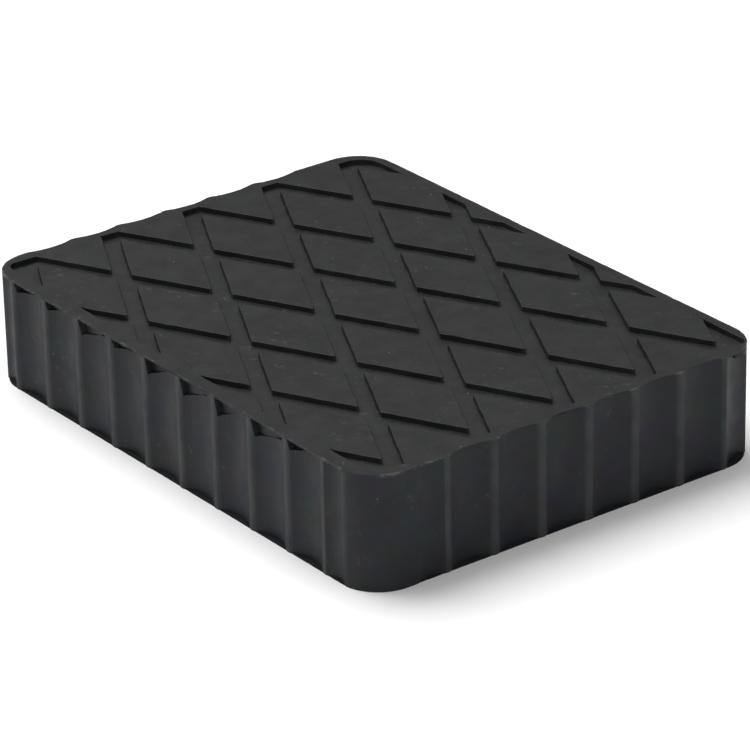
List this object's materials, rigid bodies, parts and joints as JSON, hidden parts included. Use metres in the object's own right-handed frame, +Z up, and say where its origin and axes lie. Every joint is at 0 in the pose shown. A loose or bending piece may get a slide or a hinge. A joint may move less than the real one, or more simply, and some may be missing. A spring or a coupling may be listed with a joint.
{
  "type": "lift rubber pad",
  "caption": "Low rectangular rubber block with fluted sides, a thin top lip and a raised lozenge tread parted by crossing channels.",
  "frame": {"origin": "centre of the underside's bounding box", "axes": "+X along the long side, +Z up out of the tread"},
  "size_m": [0.16, 0.12, 0.03],
  "materials": {
    "rubber": "matte"
  },
  "bodies": {
    "root": {"rubber_pad": "rubber"}
  },
  "joints": []
}
